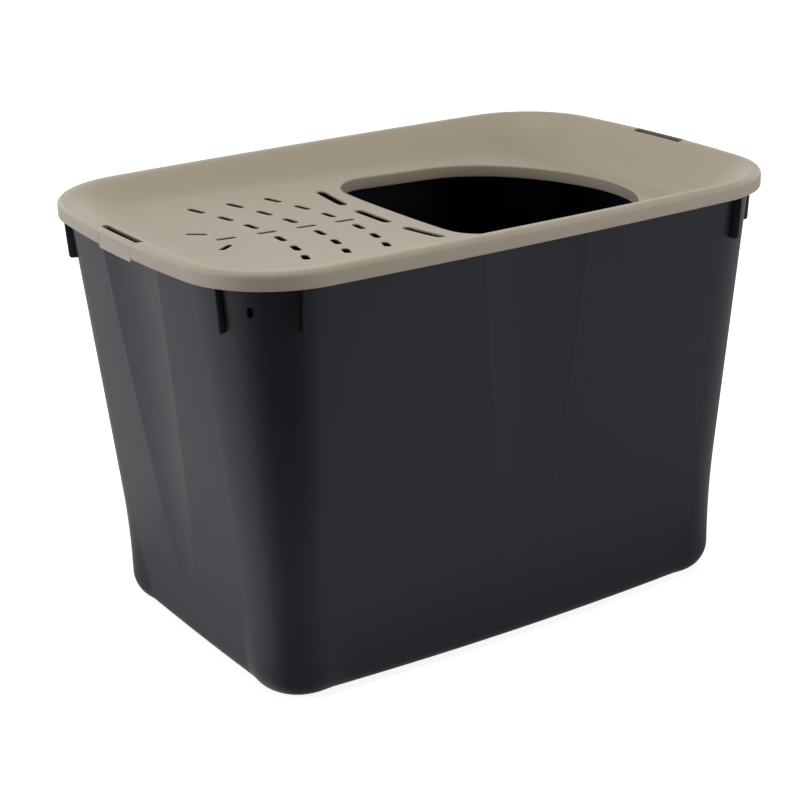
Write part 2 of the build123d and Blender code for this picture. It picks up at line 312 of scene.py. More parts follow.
def moulded_plastic(name, look):
    """Satin moulded plastic with a fine grain, slight mottling and soft flow waves."""
    material = bpy.data.materials.new(name)
    shader = Shader(material)
    place = shader.value("ShaderNodeTexCoord", {}, {}, "Object")
    noises = []
    for scale, detail, rough in (
        (1 / look.grain, 2.0, 0.6),
        (look.mottles, 4.0, 0.55),
        (look.waves, 1.0, 0.5),
    ):
        inputs = {"Vector": place, "Scale": scale, "Detail": detail, "Roughness": rough}
        noises.append(shader.value("ShaderNodeTexNoise", {}, inputs, "Fac"))
    grain, mottle, waves = noises
    shade = 0.5 + (mottle - 0.5) * 0.35 + (grain - 0.5) * 0.5
    dark, pale = ((*(Vector(look.colour) * share), 1) for share in (0.93, 1.07))
    colour = shader.value("ShaderNodeMix", {"data_type": "RGBA"}, {0: shade, 6: dark, 7: pale}, 2)
    bump = {"Height": waves, "Strength": 0.25, "Distance": look.wave_depth}
    bump["Normal"] = shader.value("ShaderNodeBump", {}, bump)
    bump.update({"Height": grain, "Strength": 0.7, "Distance": look.grain_depth})
    surface = shader.value(
        "ShaderNodeBsdfPrincipled",
        {},
        {
            "Base Color": colour,
            "Roughness": look.roughness + (mottle - 0.5) * 0.1 + (grain - 0.5) * 0.08,
            "Normal": shader.value("ShaderNodeBump", {}, bump),
            "IOR": 1.49,
            "Specular IOR Level": look.specular,
        },
    )
    shader.node("ShaderNodeOutputMaterial", {}, {"Surface": surface})
    return material


def plastic(name):
    """The lid's or the tub's plastic, made once."""
    made = bpy.data.materials.get(f"moulded_{name}")
    return made or moulded_plastic(f"moulded_{name}", getattr(bpy.context.scene.litter_box, name))


# Outlines


class Outline:
    """A rounded rectangle with bowed sides, seen from above."""

    def __init__(self, half_length, half_width, radius, short_bow, long_bow):
        corner_x = half_length - short_bow
        corner_y = half_width - long_bow
        end_radius = (corner_y**2 + short_bow**2) / (2 * short_bow)
        side_radius = (corner_x**2 + long_bow**2) / (2 * long_bow)
        self.half_length = half_length
        self.half_width = half_width
        self.radius = radius
        self.end = Vector((half_length - end_radius, 0, 0))
        self.side = Vector((0, half_width - side_radius, 0))
        crossings = intersect_sphere_sphere_2d(
            self.end.xy, end_radius - radius, self.side.xy, side_radius - radius
        )
        self.corner = max(crossings, key=lambda point: point.x + point.y).to_3d()
        self.turn_start = math.atan2(self.corner.y, self.corner.x - self.end.x)
        self.turn_end = math.atan2(self.corner.y - self.side.y, self.corner.x)

    def inset(self, x, y):
        """How far inside the outline a point lies, square to it."""
        near = 0.02
        point = Vector((abs(x), abs(y), 0))
        away = point - self.corner
        if min(away.xy) > -near and self.turn_start < math.atan2(away.y, away.x) < self.turn_end:
            return self.radius - away.length
        to_end = self.half_length - self.end.x - (point - self.end).length
        to_side = self.half_width - self.side.y - (point - self.side).length
        return min(to_end, to_side)

    def point(self, zone, share, end_crease, side_crease):
        """A point of the +X +Y quarter and the direction that leads out of it. Zones 0 and 4
        are the grooves' halves, 1 and 3 the walls beside them, and 2 is the corner."""
        end_reach = self.half_length - self.end.x
        side_reach = self.half_width - self.side.y
        if zone == 2:
            turn = self.turn_start + (self.turn_end - self.turn_start) * share
            centre, reach = self.corner, self.radius
        elif zone < 2:
            crease = math.asin(end_crease / end_reach)
            turn = crease * share if zone == 0 else crease + (self.turn_start - crease) * share
            centre, reach = self.end, end_reach
        else:
            crease = math.pi / 2 - math.asin(side_crease / side_reach)
            rest = math.pi / 2 - crease
            beside = self.turn_end + (crease - self.turn_end) * share
            turn = crease + rest * share if zone == 4 else beside
            centre, reach = self.side, side_reach
        out = Vector((math.cos(turn), math.sin(turn), 0))
        return centre + out * reach, out

    def ring(self, bm, end_steps, corner_steps, side_steps):
        """Draws the whole outline and returns its vertices."""
        quarter = [
            ("turn", self.end, self.turn_start, end_steps),
            ("turn", self.corner, self.turn_end - self.turn_start, corner_steps),
            ("turn", self.side, math.pi / 2 - self.turn_end, side_steps),
        ]
        return closed_loop(bm, (self.half_length, 0, 0), quarter, "XY")


def layers(bm):
    """Two vertex layers: a vertex's place on its nominal edge, and the direction that leads
    out of its hole or outline. Extruding a vertex carries both along."""
    sets = bm.verts.layers.float_vector
    return sets.get("home") or sets.new("home"), sets.get("outward") or sets.new("outward")


def verts_in(geometry):
    return [part for part in geometry if isinstance(part, bmesh.types.BMVert)]


def face_outwards(bm):
    bmesh.ops.recalc_face_normals(bm, faces=bm.faces[:])


def turn_all(bm, turn, axis="Z"):
    """Turns the whole mesh about an axis through the origin."""
    bmesh.ops.rotate(bm, cent=(0, 0, 0), matrix=Matrix.Rotation(turn, 3, axis), verts=bm.verts)


def move_all(bm, vec):
    bmesh.ops.translate(bm, vec=vec, verts=bm.verts)


def close_holes(bm, edges=None):
    """Fills the holes that the given edges, or all open edges, go round."""
    edges = edges or [edge for edge in bm.edges if edge.is_boundary]
    bmesh.ops.holes_fill(bm, edges=edges, sides=0)


def round_edges(bm, edges, offset, segments):
    bmesh.ops.bevel(
        bm, geom=edges, offset=offset, affect="EDGES", segments=segments, profile=0.5,
        material=-1, clamp_overlap=True,
    )


def drawn_to(bm, last, place):
    """Draws an edge from the last vertex to a place and returns the new vertex."""
    vert = bmesh.ops.extrude_vert_indiv(bm, verts=[last])["verts"][0]
    vert.co = place
    return vert


def spun(bm, geometry, centre, angle, steps, use_merge=False):
    """Spins geometry about an upright axis and returns its last copy."""
    return bmesh.ops.spin(
        bm, geom=geometry, cent=centre, axis=(0, 0, 1), angle=angle, steps=steps,
        use_merge=use_merge,
    )["geom_last"]


def edges_of(verts):
    """The open edges that join these vertices to each other."""
    inside = set(verts)
    edges = {e for v in verts for e in v.link_edges if e.other_vert(v) in inside}
    return [e for e in edges if len(e.link_faces) < 2]


def closed_loop(bm, start, moves, mirrors, matrix=Matrix()):
    """Draws a chain of turns and straight runs, mirrors it shut, places it and returns its
    vertices."""
    home, outward = layers(bm)
    before = set(bm.verts)
    last = bm.verts.new(start)
    for kind, where, angle, steps in moves:
        known = set(bm.verts)
        if kind == "turn":
            last[outward] = (last.co - where).normalized()
            last = spun(bm, [last], where, angle, steps)[0]
            for vert in set(bm.verts) - known:
                vert[outward] = (vert.co - where).normalized()
        else:
            out = Vector((last.co.y - where.y, where.x - last.co.x, 0))
            last[outward] = out.normalized() * angle
            start = last.co.copy()
            for step in range(steps):
                last = drawn_to(bm, last, start.lerp(where, (step + 1) / steps))
    for axis in mirrors:
        drawn = [v for v in bm.verts if v not in before]
        drawn += edges_of(drawn)
        bmesh.ops.mirror(bm, geom=drawn, matrix=Matrix(), axis=axis, merge_dist=1e-6)
        index = "XYZ".index(axis)
        for vert in bm.verts:
            if vert not in before and vert.co[index] < -1e-7:
                direction = vert[outward].copy()
                direction[index] = -abs(direction[index])
                vert[outward] = direction
    made = [v for v in bm.verts if v not in before]
    bmesh.ops.transform(bm, matrix=matrix, verts=made)
    for vert in made:
        vert[outward] = (matrix.to_3x3() @ vert[outward]).normalized()
        vert[home] = vert.co
    return made


def shift_loop(bm, verts, offset, drop):
    """Puts a loop's vertices at an offset from their nominal edge and a drop below zero."""
    home, outward = layers(bm)
    for vert in verts:
        vert.co = vert[home] + vert[outward] * offset - Vector((0, 0, drop))


def sweep_loop(bm, verts, profile):
    """Extrudes a loop through a profile of offsets and drops and returns the last loop."""
    for offset, drop in profile:
        verts = verts_in(bmesh.ops.extrude_edge_only(bm, edges=edges_of(verts))["geom"])
        shift_loop(bm, verts, offset, drop)
    return verts


def quarter_round(centre_offset, centre_drop, radius, first, last, steps):
    """Profile points on an arc. Angle 0 points along +offset and 90 degrees along +drop."""
    turns = [math.radians(first + (last - first) * step / steps) for step in range(1, steps + 1)]
    return [
        (centre_offset + radius * math.cos(turn), centre_drop + radius * math.sin(turn))
        for turn in turns
    ]


# Pieces


def finished(bm, name, plastic_name, body, node, creases=()):
    """Turns the mesh into a smooth shaded piece that rides on its body and stands for its
    node."""
    sharp_from = math.radians(38)
    for face in bm.faces:
        face.smooth = True
    for edge in bm.edges:
        edge.smooth = len(edge.link_faces) == 2 and edge.calc_face_angle() < sharp_from
    for edge in creases:
        edge.smooth = False
    piece = linked(bm, name)
    piece.data.materials.append(plastic(plastic_name))
    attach(piece, body)
    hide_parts(node)


def linked(bm, name):
    """An object in the scene with this mesh."""
    mesh = bpy.data.meshes.new(name)
    bm.to_mesh(mesh)
    bm.free()
    made = bpy.data.objects.new(name, mesh)
    bpy.context.scene.collection.objects.link(made)
    return made


def combined(bm, tools, operation):
    """The mesh after cutting away or joining on each tool, as a new bmesh."""
    work = linked(bm, "work")
    helpers = [work]
    for tool in tools:
        helpers.append(linked(tool, "tool"))
        cut = work.modifiers.new("cut", "BOOLEAN")
        cut.operation = operation
        cut.solver = "MANIFOLD"
        cut.object = helpers[-1]
    result = bmesh.new()
    result.from_object(work, bpy.context.evaluated_depsgraph_get())
    for helper in helpers:
        bpy.data.meshes.remove(helper.data)
    return result


# Lid


def lid_outline(lid):
    return Outline(lid.half_length, lid.half_width, lid.corner_radius, lid.short_bow, lid.long_bow)


def dish_height(lid, outline, x, y):
    """Height of the lid's upper face at a point seen from above."""
    share = (lid.slope_reach - outline.inset(x, y)) / (lid.slope_reach - lid.crest_width)
    share = min(max(share, 0), 1)
    blend = 1 - (1 - share**lid.slope_hollow) ** lid.slope_shoulder
    rise = lid.floor_rise * (abs(y) / lid.floor_reach) ** 3
    floor = lid.crest - lid.dish_depth - lid.dish_fall * x + rise
    return floor + (lid.crest - floor) * blend


def opening_loop(bm, opening):
    """The cat opening's D."""
    round_end = Vector((opening.centre_x, 0, 0))
    turn = opening.corner_radius
    corner = Vector((opening.flat_x + turn, opening.radius - turn, 0))
    half = [
        ("turn", round_end, math.pi / 2, 30),
        ("run", Vector((corner.x, opening.radius, 0)), -1, 6),
        ("turn", corner, math.pi / 2, 12),
        ("run", Vector((opening.flat_x, 0, 0)), -1, 6),
    ]
    return closed_loop(bm, (opening.centre_x + opening.radius, 0, 0), half, "Y")


def slot_loop(bm, x, y, angle, length, width, steps):
    """One round ended slot, lying at an angle to +X."""
    end = Vector(((length - width) / 2, 0, 0))
    quarter = [("turn", end, math.pi / 2, steps), ("run", Vector((0, width / 2, 0)), -1, 1)]
    matrix = Matrix.Translation((x, y, 0)) @ Matrix.Rotation(math.radians(angle), 4, "Z")
    return closed_loop(bm, (length / 2, 0, 0), quarter, "XY", matrix)


def dish_slots(bm, slots):
    """The long slots beside the opening, the rows of litter slots and the head slots."""
    loops = []
    curve, size = slots.long_row_radius, (slots.long_length, slots.long_width)
    for y in (-slots.long_row_step, 0, slots.long_row_step):
        lean = math.asin(y / curve)
        x = slots.long_row_x + curve * (1 - math.cos(lean))
        loops.append(slot_loop(bm, x, y, 90 - math.degrees(lean), *size, 6))
    for start in row_starts:
        loops.append(slot_loop(bm, start, 0, 0, slots.spoke_length, slots.spoke_width, 4))
        for turn in row_angles:
            x = start - slots.row_radius * (1 - math.cos(math.radians(turn)))
            y = slots.row_radius * math.sin(math.radians(turn))
            loops.append(slot_loop(bm, x, y, 90 + turn, slots.litter_length, slots.litter_width, 4))
    for x, y, turn in head_slots:
        loops.append(slot_loop(bm, x, y, turn, slots.spoke_length, slots.spoke_width, 4))
    return loops


def opening_profile(lid, opening, border):
    """Over the lip, down the collar, round its lower edge and back up outside it."""
    lip = opening.lip_round
    half = lid.wall / 2
    profile = [(lip, 0)] + quarter_round(lip, lip, lip, 270, 180, 6)
    profile.append((0, opening.collar - half))
    profile += quarter_round(half, opening.collar - half, half, 180, 0, 8)
    return profile + [(lid.wall, lip), (lip, lid.wall), (lip + border, lid.wall)]


def slot_profile(lid, slots, land):
    """Over the slot's upper edge, down its short wall and out under the sheet."""
    edge = slots.edge_round
    profile = [(edge, 0)] + quarter_round(edge, edge, edge, 270, 180, 3)
    return profile + [(0, land), (slots.flare, lid.wall)]


def edge_profile(lid):
    """Up the slope, over the crest, down the skirt and back inside."""
    edge, crest, wall = lid.edge_round, lid.crest_round, lid.wall
    start = lid.slope_reach - rim_start
    insets = [start - 0.003 * step for step in range(1, 18)]
    insets += [lid.crest_width + 0.003, lid.crest_width + 0.0012, lid.crest_width]
    slope = [(-inset, 0) for inset in insets]
    profile = slope + [(-0.0062, 0), (-crest, 0)] + quarter_round(-crest, crest, crest, 270, 360, 8)
    profile += [(0, lid.skirt - edge)] + quarter_round(-edge, lid.skirt - edge, edge, 0, 90, 4)
    profile += quarter_round(edge - wall, lid.skirt - edge, edge, 90, 180, 4) + [(-wall, crest)]
    profile += quarter_round(-crest, crest, crest - wall, 0, -90, 4)
    return profile + [(offset, wall) for offset, _ in reversed(slope)] + [(-start, wall)]


def lid_shell(lid, opening, slots):
    """The lid as one closed sheet, before the tabs' gaps are cut."""
    bm = bmesh.new()
    layers(bm)
    outline = lid_outline(lid)
    rim = outline.ring(bm, 14, 26, 14)
    mouth = opening_loop(bm, opening)
    small = dish_slots(bm, slots)
    shift_loop(bm, rim, rim_start - lid.slope_reach, 0)
    shift_loop(bm, mouth, opening.lip_round + slots.border, 0)
    for loop in small:
        shift_loop(bm, loop, slots.edge_round + slots.border, 0)
    bmesh.ops.triangle_fill(bm, use_beauty=True, edges=bm.edges[:], normal=(0, 0, 1))
    plate = bm.verts[:] + bm.edges[:] + bm.faces[:]
    under = bmesh.ops.duplicate(bm, geom=plate)
    bmesh.ops.translate(bm, vec=(0, 0, -lid.wall), verts=verts_in(under["geom"]))
    for loop in small:
        shift_loop(bm, [under["vert_map"][vert] for vert in loop], slots.flare, lid.wall)
    sweep_loop(bm, rim, edge_profile(lid))
    sweep_loop(bm, mouth, opening_profile(lid, opening, slots.border))
    for count, loop in enumerate(small):
        land = slots.long_land if count < 3 else slots.land
        sweep_loop(bm, loop, slot_profile(lid, slots, land))
    bmesh.ops.remove_doubles(bm, verts=bm.verts[:], dist=2e-6)
    for y in bends:
        for side in (-y, y):
            plane = {"dist": 1e-5, "plane_co": (0, side, 0), "plane_no": (0, 1, 0)}
            bmesh.ops.bisect_plane(bm, geom=bm.verts[:] + bm.edges[:] + bm.faces[:], **plane)
    for vert in bm.verts:
        vert.co.z += dish_height(lid, outline, vert.co.x, vert.co.y)
    face_outwards(bm)
    return bm


def crest_slot_tool(lid, slots, outline):
    """What the slot behind the right tab cuts away, flared where it meets the crest."""
    bm = bmesh.new()
    corner, flare, over, sink = slots.crest_corner, 0.0006, 0.004, 0.0002
    half_depth = (slots.crest_inner - slots.crest_outer) / 2
    half_length = slots.crest_length / 2
    middle = lid.half_length - (slots.crest_inner + slots.crest_outer) / 2
    quarter = [
        ("run", Vector((half_depth, half_length - corner, 0)), -1, 4),
        ("turn", Vector((half_depth - corner, half_length - corner, 0)), math.pi / 2, 5),
        ("run", Vector((0, half_length, 0)), -1, 1),
    ]
    loop = closed_loop(bm, (half_depth, 0, 0), quarter, "XY", Matrix.Translation((middle, 0, 0)))
    shift_loop(bm, loop, 0, lid.skirt)
    sweep_loop(bm, loop, quarter_round(flare, flare, flare, 180, 270, 3) + [(flare, -over)])
    close_holes(bm)
    for vert in bm.verts:
        vert.co.x -= vert.co.y**2 / (2 * (lid.half_length - outline.end.x))
        vert.co.z += lid.crest - sink
    face_outwards(bm)
    return bm


def tab_taper(lid, tabs, height):
    """Width of a tab at a height, as a share of its width at the crest."""
    drop = (lid.crest - height) / (lid.skirt + tabs.lip_drop)
    return 1 - (1 - tabs.foot_width / tabs.width) * drop


def tab_gap_tool(lid, tabs, slots):
    """What the right tab's gap cuts out of the crest and the skirt."""
    bm = bmesh.new()
    inner = lid.half_length - slots.crest_outer - slots.crest_corner
    outer = lid.half_length + 0.01
    bmesh.ops.create_cube(bm, size=1)
    bmesh.ops.scale(bm, vec=(outer - inner, tabs.width, 4 * lid.skirt), verts=bm.verts)
    move_all(bm, ((inner + outer) / 2, 0, lid.crest))
    for vert in bm.verts:
        vert.co.y *= tab_taper(lid, tabs, vert.co.z)
        vert.co.y += math.copysign(tabs.gap, vert.co.y)
    return bm


def turned(tool):
    """The same tool for the left side."""
    other = tool.copy()
    turn_all(other, math.pi)
    return other


class LITTERBOX_OT_lid(bpy.types.Operator):
    """Models the dished lid with its cat opening, litter slots and tab gaps"""

    bl_idname = "litterbox.lid"
    bl_label = "Lid"

    def execute(self, context):
        sizes = context.scene.litter_box
        lid, slots = sizes.lid, sizes.slots
        slot_tool = crest_slot_tool(lid, slots, lid_outline(lid))
        gap_tool = tab_gap_tool(lid, sizes.tabs, slots)
        tools = [turned(slot_tool), slot_tool, turned(gap_tool), gap_tool]
        bm = combined(lid_shell(lid, sizes.opening, slots), tools, "DIFFERENCE")
        finished(bm, "dished_lid", "lid_plastic", "lid", "lid")
        return {"FINISHED"}


# Snap tabs


def tab_section(lid, tabs, slots):
    """Half of the tab's section: insets and drops from the crest slot's edge over the
    crest, down the panel, round the lip and back up inside."""
    crest, wall, flare, outer = lid.crest_round, lid.wall, tabs.lip_flare, slots.crest_outer
    bottom = lid.skirt + tabs.lip_drop
    crease = bottom - tabs.lip_height
    nick, hair = 0.0005, 0.0001
    section = [(outer, wall), (outer, nick), (outer - 4 * hair, 0.6 * hair)]
    over = quarter_round(crest, crest, crest, 270, 180, 8)
    section += [point for point in over if point[0] <= outer]
    for share in (0.35, 0.7, 1):
        section.append((tabs.lean * share**1.5, crest + (crease - crest) * share))
    return section + [
        (tabs.lean + tabs.crease_depth, crease + tabs.crease_width / 2),
        (tabs.lean * 0.4, crease + tabs.crease_width),
        (-flare * 0.6, crease + tabs.lip_height * 0.6),
        (-flare, bottom - 6 * hair),
        (-flare + 2 * hair, bottom - hair),
        (-flare + 6 * hair, bottom),
        (wall - flare - 4 * hair, bottom),
        (wall - flare, bottom - nick),
        (wall, crease),
        (wall, crest + 4 * hair),
        (wall + nick, wall + 3 * hair),
    ]


class LITTERBOX_OT_snap_tabs(bpy.types.Operator):
    """Models the two snap tabs that clip the lid onto the rim"""

    bl_idname = "litterbox.snap_tabs"
    bl_label = "Snap tabs"

    def execute(self, context):
        sizes = context.scene.litter_box
        lid, tabs = sizes.lid, sizes.tabs
        centre = lid_outline(lid).end
        reach = lid.half_length - centre.x
        angle = tabs.width / reach
        for side in ("right", "left"):
            bm = bmesh.new()
            corners = [
                bm.verts.new((lid.half_length - inset, 0, lid.crest - drop))
                for inset, drop in tab_section(lid, tabs, sizes.slots)
            ]
            outline = bmesh.ops.contextual_create(bm, geom=corners)["faces"]
            bmesh.ops.delete(bm, geom=outline, context="FACES_ONLY")
            half_back = Matrix.Rotation(-angle / 2, 3, "Z")
            bmesh.ops.rotate(bm, cent=centre, matrix=half_back, verts=bm.verts)
            spun(bm, bm.verts[:] + bm.edges[:], centre, angle, 10)
            for vert in bm.verts:
                across = vert.co.y
                vert.co.y *= tab_taper(lid, tabs, vert.co.z)
                vert.co.x += (across**2 - vert.co.y**2) / (2 * reach)
            ends = [edge for edge in bm.edges if edge.is_boundary]
            close_holes(bm, ends)
            face_outwards(bm)
            round_edges(bm, ends, tabs.edge_round, 3)
            if side == "left":
                turn_all(bm, math.pi)
            finished(bm, f"{side}_snap_tab_clip", "lid_plastic", f"{side}_tab", f"{side}_snap_tab")
        return {"FINISHED"}


# Tub


def quarter_stations():
    """Where the mesh's upright lines run on a quarter of the tub, close together beside the
    foot."""
    wide = [0.14, 0.28, 0.42, 0.55, 0.66, 0.74]
    close = [0.775 + 0.025 * step for step in range(9)]
    stations = [(0, step / 7) for step in range(7)] + [(1, share) for share in [0] + wide + close]
    stations += [(2, step / 26) for step in range(27)]
    stations += [(3, 1 - share) for share in reversed([0] + wide + close)]
    return stations + [(4, step / 7) for step in range(1, 8)]


def tub_outline(tub, lid, height):
    """The tub's outline at a height: a straight blend from the base to the rim."""
    share = height / (lid.crest - lid.skirt)
    sizes = []
    for size in ("half_length", "half_width", "radius", "short_bow", "long_bow"):
        low, high = getattr(tub, f"base_{size}"), getattr(tub, f"top_{size}")
        sizes.append(low + (high - low) * share)
    return Outline(*sizes)


def groove_depth(tub, lid, height):
    """Depth of the groove down the middle of a wall at a height."""
    share = (height - tub.groove_foot) / (lid.crest - lid.skirt - tub.groove_foot)
    return tub.groove_depth * max(share, 0)


def groove_edge(tub, depth, reach):
    """How far from a wall's middle the groove's edge lies, and how hollow the wall is."""
    hollow = 1 / (2 * tub.groove_radius) + 1 / (2 * reach)
    return max(math.sqrt(depth / hollow), tub.groove_least), hollow


def grooves(tub, lid, height):
    """The outline and the grooves' depth at a height, with the edges of the groove in a short
    wall and in a long wall."""
    outline = tub_outline(tub, lid, height)
    depth = groove_depth(tub, lid, height)
    end = groove_edge(tub, depth, outline.half_length - outline.end.x)
    return outline, depth, end, groove_edge(tub, depth, outline.half_width - outline.side.y)


def under_round(radius, wall, height, centre):
    """How far a face inside a rounded lower edge has turned in at a height. The rounding's
    centre is at the given height, and the face lies one wall behind the outside."""
    fall = max(centre - height, 0)
    return radius - math.sqrt(max((radius - wall) ** 2 - fall**2, 0))


def tub_point(tub, lid, station, height, wall):
    """A point of the tub's face at a height, one wall behind the outside."""
    outline, depth, (end_crease, end_hollow), (side_crease, side_hollow) = grooves(tub, lid, height)
    zone, share = station
    place, out = outline.point(zone, share, end_crease, side_crease)
    if zone == 0:
        place -= out * max(depth - place.y**2 * end_hollow, 0)
    if zone == 4:
        place -= out * max(depth - place.x**2 * side_hollow, 0)
    place -= out * under_round(tub.base_round, wall, height, tub.clearance + tub.base_round)
    foot_radius = tub.foot_radius - under_round(tub.foot_round, wall, height, tub.foot_round)
    away = place - Vector((tub.foot_x, tub.foot_y, 0))
    along = away.dot(out)
    stand = math.sqrt(max(along**2 - away.length_squared + foot_radius**2, 0)) - along
    blend = max(tub.foot_blend - abs(stand), 0)
    place += out * (max(stand, 0) + blend**2 / (4 * tub.foot_blend))
    return place + Vector((0, 0, height))


def tub_ring(bm, verts, place):
    """Extrudes a ring of the tub, or draws the first one, and puts each vertex where place
    says for its station."""
    stations = quarter_stations()
    steps = len(stations) - 1
    number = bm.verts.layers.int.get("number") or bm.verts.layers.int.new("number")
    if verts:
        verts = verts_in(bmesh.ops.extrude_edge_only(bm, edges=edges_of(verts))["geom"])
    else:
        verts = bmesh.ops.create_circle(bm, segments=4 * steps, radius=1)["verts"]
        for vert in verts:
            quarters = math.atan2(vert.co.y, vert.co.x) * 2 / math.pi
            vert[number] = round(quarters * steps) % (4 * steps)
    spots = [place(station) for station in stations]
    for vert in verts:
        around = vert[number] % (2 * steps)
        spot = spots[min(around, 2 * steps - around)]
        left = steps < vert[number] < 3 * steps
        front = vert[number] > 2 * steps
        vert.co = (-spot.x if left else spot.x, -spot.y if front else spot.y, spot.z)
    return verts


def wall_heights(tub, wall, top):
    """Heights of the tub's rings, from the underside up round the lower edge."""
    centre = tub.clearance + tub.base_round
    turns = [math.radians(9 * step) for step in range(1, 11)]
    rounding = [centre - (tub.base_round - wall) * math.cos(turn) for turn in turns]
    low = [0.0205, 0.0235, 0.0265, 0.031, 0.036, 0.041, 0.046, 0.051, 0.056, 0.061, 0.066]
    high = [0.071, 0.077, 0.084, 0.092, 0.102, 0.115, 0.13, 0.15, 0.175, 0.205, 0.24, 0.28, 0.325]
    return [tub.clearance + wall] + rounding + low + high + [top]


def tub_walls(tub, lid, wall, top):
    """The tub's faces from the underside to a height, closed below, and the last ring."""
    bm = bmesh.new()
    verts = []
    for height in wall_heights(tub, wall, top):
        verts = tub_ring(bm, verts, lambda station: tub_point(tub, lid, station, height, wall))
        if not bm.faces:
            close_holes(bm, edges_of(verts))
    return bm, verts


def tub_outside(tub, lid):
    """The solid outside of the tub with its rim and the bead that stands on it."""
    bm, verts = tub_walls(tub, lid, 0, tub.rim_bottom)
    rim = lid_outline(lid)
    # The section's edges are cut over a turn, through a point one part away from both faces.
    turn, part, side_reach = 0.0009, 0.00027, 0.05
    outer, inner = tub.rim_inset, tub.rim_inset + tub.wall
    low, top = tub.rim_bottom, tub_high.z
    section = [
        (outer + turn, low), (outer + part, low + part), (outer, low + turn),
        (outer, top - turn), (outer + part, top - part), (outer + turn, top),
        (inner - turn, top), (inner - part, top - part), (inner, top - turn),
        (inner, tub.rim_top + turn), (inner + turn, tub.rim_top),
    ]
    for inset, height in section:

        def place(station):
            spot, out = rim.point(*station, side_reach, side_reach)
            return spot - out * inset + Vector((0, 0, height))

        verts = tub_ring(bm, verts, place)
    close_holes(bm, edges_of(verts))
    face_outwards(bm)
    return bm


def tub_cavity(tub, lid):
    """The solid that hollows the tub out."""
    bm, verts = tub_walls(tub, lid, tub.wall, tub_high.z + 0.01)
    close_holes(bm, edges_of(verts))
    face_outwards(bm)
    return bm


def foot_pad(tub, wall, start):
    """The part of a foot that reaches below the base, one wall behind its outside."""
    bm = bmesh.new()
    radius = tub.foot_round - wall
    above, back = start + 0.0006, 0.0003
    widest = math.acos((tub.foot_round - start) / radius)
    turns = [widest * (1 - step / 5) for step in range(6)]
    levels = [above] + [tub.foot_round - radius * math.cos(turn) for turn in turns]
    last = bm.verts.new((0, 0, above))
    for turn, level in zip([widest] + turns, levels):
        reach = tub.foot_radius - tub.foot_round + radius * math.sin(turn) - back
        last = drawn_to(bm, last, (reach, 0, level))
    drawn_to(bm, last, (0, 0, tub.foot_round - radius))
    spun(bm, bm.verts[:] + bm.edges[:], (0, 0, 0), 2 * math.pi, 48, use_merge=True)
    bmesh.ops.remove_doubles(bm, verts=bm.verts[:], dist=1e-6)
    move_all(bm, (tub.foot_x, tub.foot_y, 0))
    face_outwards(bm)
    return bm


def corner_copies(tool):
    """The tool at the +X +Y corner with its mirror images at the other three."""
    copies = [tool]
    for signs in ((-1, 1), (-1, -1), (1, -1)):
        copy = tool.copy()
        bmesh.ops.scale(copy, vec=(*signs, 1), verts=copy.verts)
        face_outwards(copy)
        copies.append(copy)
    return copies


def fin_tool(tub, lid, fins, turn):
    """One gusset fin, from inside the wall out under the rim."""
    bm = bmesh.new()
    depth, chamfer, edge_round = 0.03, 0.0015, 0.0004
    root, low = lid.corner_radius - depth, lid.corner_radius - fins.bottom_inset
    head = (tub.rim_bottom + tub.rim_top) / 2
    side = [
        (root, fins.bottom),
        (low - chamfer, fins.bottom),
        (low, fins.bottom + chamfer),
        (lid.corner_radius - fins.top_inset, head),
        (root, head),
    ]
    corners = [bm.verts.new((x, -fins.thickness / 2, z)) for x, z in side]
    bmesh.ops.contextual_create(bm, geom=corners)
    grown = bmesh.ops.extrude_face_region(bm, geom=bm.faces[:] + bm.edges[:] + bm.verts[:])["geom"]
    bmesh.ops.translate(bm, vec=(0, fins.thickness, 0), verts=verts_in(grown))
    face_outwards(bm)
    outer = [e for e in bm.edges if all(v.co.x > root + depth / 3 for v in e.verts)]
    round_edges(bm, outer, edge_round, 2)
    turn_all(bm, turn)
    move_all(bm, lid_outline(lid).corner)
    return bm


def pip_tool(tub, lid, fins):
    """What the small upright slot between two fins cuts through the wall, flared outside."""
    bm = bmesh.new()
    layers(bm)
    outline = tub_outline(tub, lid, fins.pip_height)
    loop = slot_loop(bm, 0, 0, 0, fins.pip_length, fins.pip_width, 5)
    shift_loop(bm, loop, 0, 0)
    flare, skin, sink = 0.0009, 0.02, 0.0002
    sweep_loop(bm, loop, [(0, skin / 2), (0, skin - flare), (flare, skin), (flare, skin + 0.004)])
    close_holes(bm)
    turn_all(bm, -math.pi / 2, "Y")
    move_all(bm, (outline.radius - skin - sink, 0, 0))
    turn_all(bm, fins.pip_angle)
    move_all(bm, outline.corner + Vector((0, 0, fins.pip_height)))
    face_outwards(bm)
    return bm


def groove_creases(bm, tub, lid):
    """The edges of the mesh that lie on the grooves' edges, where these are deep enough to
    show."""
    first, near = tub.groove_foot + 0.012, 0.0003
    levels = {}
    on_crease = set()
    for vert in bm.verts:
        height = round(vert.co.z, 6)
        if not first < height <= tub.rim_bottom:
            continue
        if height not in levels:
            levels[height] = grooves(tub, lid, height)
        outline, _, (end_crease, _), (side_crease, _) = levels[height]
        along, across = abs(vert.co.x), abs(vert.co.y)
        on_end = along > outline.corner.x and abs(across - end_crease) < near
        on_side = across > outline.corner.y and abs(along - side_crease) < near
        if on_end or on_side:
            on_crease.add(vert)
    return [edge for edge in bm.edges if on_crease.issuperset(edge.verts)]


